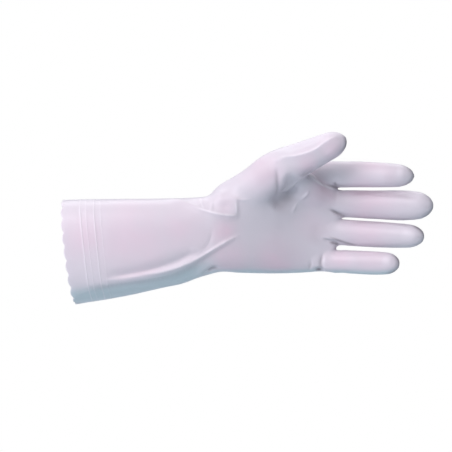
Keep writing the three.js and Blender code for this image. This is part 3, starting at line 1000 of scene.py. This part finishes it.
def share(name, description, default, high=1):
    """A share's property."""
    return bpy.props.FloatProperty(
        name=name, description=description, default=default, min=0, max=high, subtype="FACTOR"
    )


def power(name, description, default):
    """A lamp's property, in watts."""
    return bpy.props.FloatProperty(
        name=name, description=description, default=default, min=0, max=500, unit="POWER"
    )


def colour(name, description, default):
    """A colour's property."""
    return bpy.props.FloatVectorProperty(
        name=name, description=description, default=default, min=0, max=1, subtype="COLOR"
    )


class GLOVE_PG_sizes(bpy.types.PropertyGroup):
    wall: length("Wall", "Thickness of vinyl and flock together", 1.2, 0.4, 3)
    scallops: bpy.props.IntProperty(
        name="Scallops", description="Waves of the pinked edge", default=22, min=8, max=60,
    )
    scallop_depth: length("Scallop depth", "Depth of the pinked edge's waves", 1.8, 0, 6)
    rim_bow: length(
        "Rim bow", "How far the pinked edge is cut back at its top and bottom", 1.6, 0, 10
    )
    scallop_reach: length(
        "Scallop reach", "How far into the cuff the pinked edge is felt", 7, 1, 20
    )
    fold_strength: share(
        "Fold strength", "Depth of all folds against the ones of the tables", 1.0, 2
    )


class GLOVE_PG_finish(bpy.types.PropertyGroup):
    vinyl: colour("Vinyl", "Colour of the dipped vinyl", (0.70, 0.665, 0.715))
    blush: colour("Blush", "Colour of the warm patches in the vinyl", (0.82, 0.61, 0.71))
    blush_amount: share("Blush amount", "Strength of the warm patches", 0.8)
    vinyl_roughness: share("Vinyl roughness", "Roughness of the vinyl's sheen", 0.42)
    vinyl_relief: length("Vinyl relief", "Height of the vinyl's fine waviness", 0.4, 0, 3)
    flock: colour("Flock", "Colour of the flock on the inner face", (0.86, 0.84, 0.87))


class GLOVE_PG_stage(bpy.types.PropertyGroup):
    floor_height: length("Floor height", "Height of the floor below the glove", -260, -2000, -50)
    backdrop: colour("Backdrop", "Colour of the floor and the backdrop", (0.60, 0.69, 0.73))
    key_power: power("Key light", "Power of the soft light above and before the cuff", 9.9)
    top_power: power("Top light", "Power of the broad light above and behind", 6.4)


class GLOVE_OT_shell(bpy.types.Operator):
    """Model the glove: limbs and palm fused to one surface, cuff, folds, wall and finish"""

    bl_idname = "glove.shell"
    bl_label = "Glove shell"

    def execute(self, context):
        sizes = context.scene.glove_sizes
        finish = context.scene.glove_finish
        palm = make_palm()
        tubes = [make_limb(name) for name in LIMBS]
        alone(palm, *tubes)
        bpy.ops.object.join()
        blend_limbs(palm)
        add_cuff(palm, sizes)
        split_near_folds(palm)
        press_folds(palm, sizes)
        raise_beads(palm)
        mark_vinyl(palm)
        add_wall(palm, sizes)
        mottle = mottle_group()
        grain = grain_group()
        palm.data.materials.append(vinyl_material(finish, mottle, grain))
        palm.data.materials.append(flock_material(finish, mottle, grain))
        palm.name = "worn_glove"
        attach(palm, "root")
        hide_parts(PIECE)
        return {"FINISHED"}


# The camera looks along +Y at the plane y = 0. Places and sizes of the stage are in metres.
PHOTO_SCALE = 0.8625 * MM  # what one of the picture's pixels spans at the glove
PHOTO_SIDE = 452  # the picture's width and height in pixels
CAMERA_GAP = 1.2
CAMERA_AIM = (0.1363, 0.0, 0.0224)
SENSOR = 36.0  # millimetres

LIGHT_AIM = (0.15, 0.0, 0.02)
LIGHTS = table(
    "name place size colour",
    ("key", (-0.38, -0.78, 0.62), (1.0, 0.8), (1.0, 0.90, 0.95)),
    ("top", (0.2, 0.55, 1.1), (1.2, 0.8), (0.97, 0.98, 1.0)),
)
ROOM_COLOUR = (0.88, 0.93, 1.0, 1)
ROOM_FADE = (0.2, 0.9)  # how far towards +X the room starts to dim, and is dimmest
ROOM_STRENGTH = (0.555, 0.06)  # the room's strength at both

SWEEP_WIDTH = 9.0
SWEEP_FRONT = -5.0
SWEEP_BACK = 2.2  # where the floor starts to curve up
SWEEP_RADIUS = 1.2
SWEEP_HEIGHT = 5.0
SWEEP_TURNS = 12


def add_area_light(row, power):
    """One soft light of the table, turned to the glove."""
    data = bpy.data.lights.new(row["name"], "AREA")
    data.shape = "RECTANGLE"
    data.size, data.size_y = row["size"]
    data.energy = power
    data.color = row["colour"]
    light = bpy.data.objects.new(row["name"], data)
    bpy.context.scene.collection.objects.link(light)
    light.location = row["place"]
    towards = Vector(LIGHT_AIM) - Vector(row["place"])
    light.rotation_euler = towards.to_track_quat("-Z", "Y").to_euler()


def sweep(stage):
    """A floor that curves up into a backdrop."""
    bpy.ops.object.select_all(action="DESELECT")
    bpy.ops.mesh.primitive_plane_add(size=1)
    sheet = bpy.context.object
    sheet.name = "backdrop"
    bpy.ops.object.mode_set(mode="EDIT")
    bpy.ops.mesh.select_all(action="DESELECT")
    form = bmesh.from_edit_mesh(sheet.data)
    for v in form.verts:
        depth = SWEEP_FRONT if v.co.y < 0 else SWEEP_BACK
        v.co = Vector((math.copysign(SWEEP_WIDTH / 2, v.co.x), depth, stage.floor_height))
    for e in form.edges:
        if all(v.co.y > 0 for v in e.verts):
            e.select = True
    bmesh.update_edit_mesh(sheet.data)
    angles = [math.radians(90 * turn / SWEEP_TURNS) for turn in range(SWEEP_TURNS + 1)]
    profile = [(SWEEP_RADIUS * math.sin(a), SWEEP_RADIUS * (1 - math.cos(a))) for a in angles]
    profile.append((SWEEP_RADIUS, SWEEP_HEIGHT))
    for here, there in zip(profile, profile[1:]):
        extrude_by(0, there[0] - here[0], there[1] - here[1])
    bpy.ops.object.mode_set(mode="OBJECT")
    alone(sheet)
    bpy.ops.object.shade_smooth()
    return sheet


def seen_by_camera(nodes, real, shown):
    """The real shader for the light in the scene, and another one that the camera sees."""
    ray = nodes.add("ShaderNodeLightPath")
    blend = nodes.add("ShaderNodeMixShader")
    nodes.feed(blend.inputs[0], ray.outputs["Is Camera Ray"])
    nodes.feed(blend.inputs[1], real)
    nodes.feed(blend.inputs[2], shown)
    return blend.outputs[0]


def backdrop_material(stage):
    """Plain pale paper, which the camera sees evenly lit."""
    material, nodes, out, _ = new_material("Pale paper")
    paper = nodes.add("ShaderNodeBsdfDiffuse", {"Color": (*stage.backdrop, 1)})
    glow = nodes.add("ShaderNodeEmission", {"Color": (1, 1, 1, 1), "Strength": 1.0})
    nodes.feed(out.inputs["Surface"], seen_by_camera(nodes, paper.outputs[0], glow.outputs[0]))
    return material


def soft_room():
    """A soft room round the glove, darker towards +X, which the camera sees as plain white."""
    world = bpy.data.worlds.new("Soft room")
    world.use_nodes = True
    nodes = Nodes(world.node_tree)
    room = world.node_tree.nodes["Background"]
    towards = nodes.add("ShaderNodeTexCoord")
    sides = nodes.add("ShaderNodeSeparateXYZ", {"Vector": towards.outputs["Generated"]})
    dimmed = nodes.add("ShaderNodeMapRange", {
        "Value": sides.outputs["X"], "From Min": ROOM_FADE[0], "From Max": ROOM_FADE[1],
        "To Min": ROOM_STRENGTH[0], "To Max": ROOM_STRENGTH[1],
    })
    nodes.feed(room.inputs["Color"], ROOM_COLOUR)
    nodes.feed(room.inputs["Strength"], dimmed.outputs["Result"])
    white = nodes.add("ShaderNodeBackground", {"Color": (1, 1, 1, 1), "Strength": 1.0})
    seen = seen_by_camera(nodes, room.outputs[0], white.outputs[0])
    nodes.feed(world.node_tree.nodes["World Output"].inputs["Surface"], seen)
    return world


def add_camera():
    """The camera at the picture's angle, framed as the picture is."""
    lens = bpy.data.cameras.new("camera")
    lens.sensor_width = SENSOR
    lens.lens = SENSOR * CAMERA_GAP / (PHOTO_SIDE * PHOTO_SCALE)
    camera = bpy.data.objects.new("camera", lens)
    bpy.context.scene.collection.objects.link(camera)
    camera.location = Vector(CAMERA_AIM) - Vector((0, CAMERA_GAP, 0))
    camera.rotation_euler = (math.pi / 2, 0, 0)
    return camera


class GLOVE_OT_stage(bpy.types.Operator):
    """Add the pale floor and backdrop, the soft lights and the camera"""

    bl_idname = "glove.stage"
    bl_label = "Stage"

    def execute(self, context):
        stage = context.scene.glove_stage
        sheet = sweep(stage)
        sheet.data.materials.append(backdrop_material(stage))
        powers = {"key": stage.key_power, "top": stage.top_power}
        for row in LIGHTS:
            add_area_light(row, powers[row["name"]])
        context.scene.world = soft_room()
        context.scene.camera = add_camera()
        context.scene.view_settings.view_transform = "Standard"
        return {"FINISHED"}


class GLOVE_PT_panel(bpy.types.Panel):
    """Lists what the glove is made of"""

    bl_label = "Cleaning glove"
    bl_idname = "GLOVE_PT_panel"
    bl_space_type = "VIEW_3D"
    bl_region_type = "UI"
    bl_category = "Glove"

    def draw(self, context):
        scene = context.scene
        for group in (scene.glove_sizes, scene.glove_finish, scene.glove_stage):
            box = self.layout.box()
            for name in group.__annotations__:
                box.prop(group, name)
        for operator in (GLOVE_OT_shell, GLOVE_OT_stage):
            self.layout.operator(operator.bl_idname)


CLASSES = (
    GLOVE_PG_sizes, GLOVE_PG_finish, GLOVE_PG_stage,
    GLOVE_OT_shell, GLOVE_OT_stage, GLOVE_PT_panel,
)


def register():
    for cls in CLASSES:
        bpy.utils.register_class(cls)
    bpy.types.Scene.glove_sizes = bpy.props.PointerProperty(type=GLOVE_PG_sizes)
    bpy.types.Scene.glove_finish = bpy.props.PointerProperty(type=GLOVE_PG_finish)
    bpy.types.Scene.glove_stage = bpy.props.PointerProperty(type=GLOVE_PG_stage)


def unregister():
    del bpy.types.Scene.glove_stage
    del bpy.types.Scene.glove_finish
    del bpy.types.Scene.glove_sizes
    for cls in reversed(CLASSES):
        bpy.utils.unregister_class(cls)


def main():
    register()
    bpy.ops.glove.stage()
    bpy.ops.glove.shell()


if __name__ == "__main__":
    main()
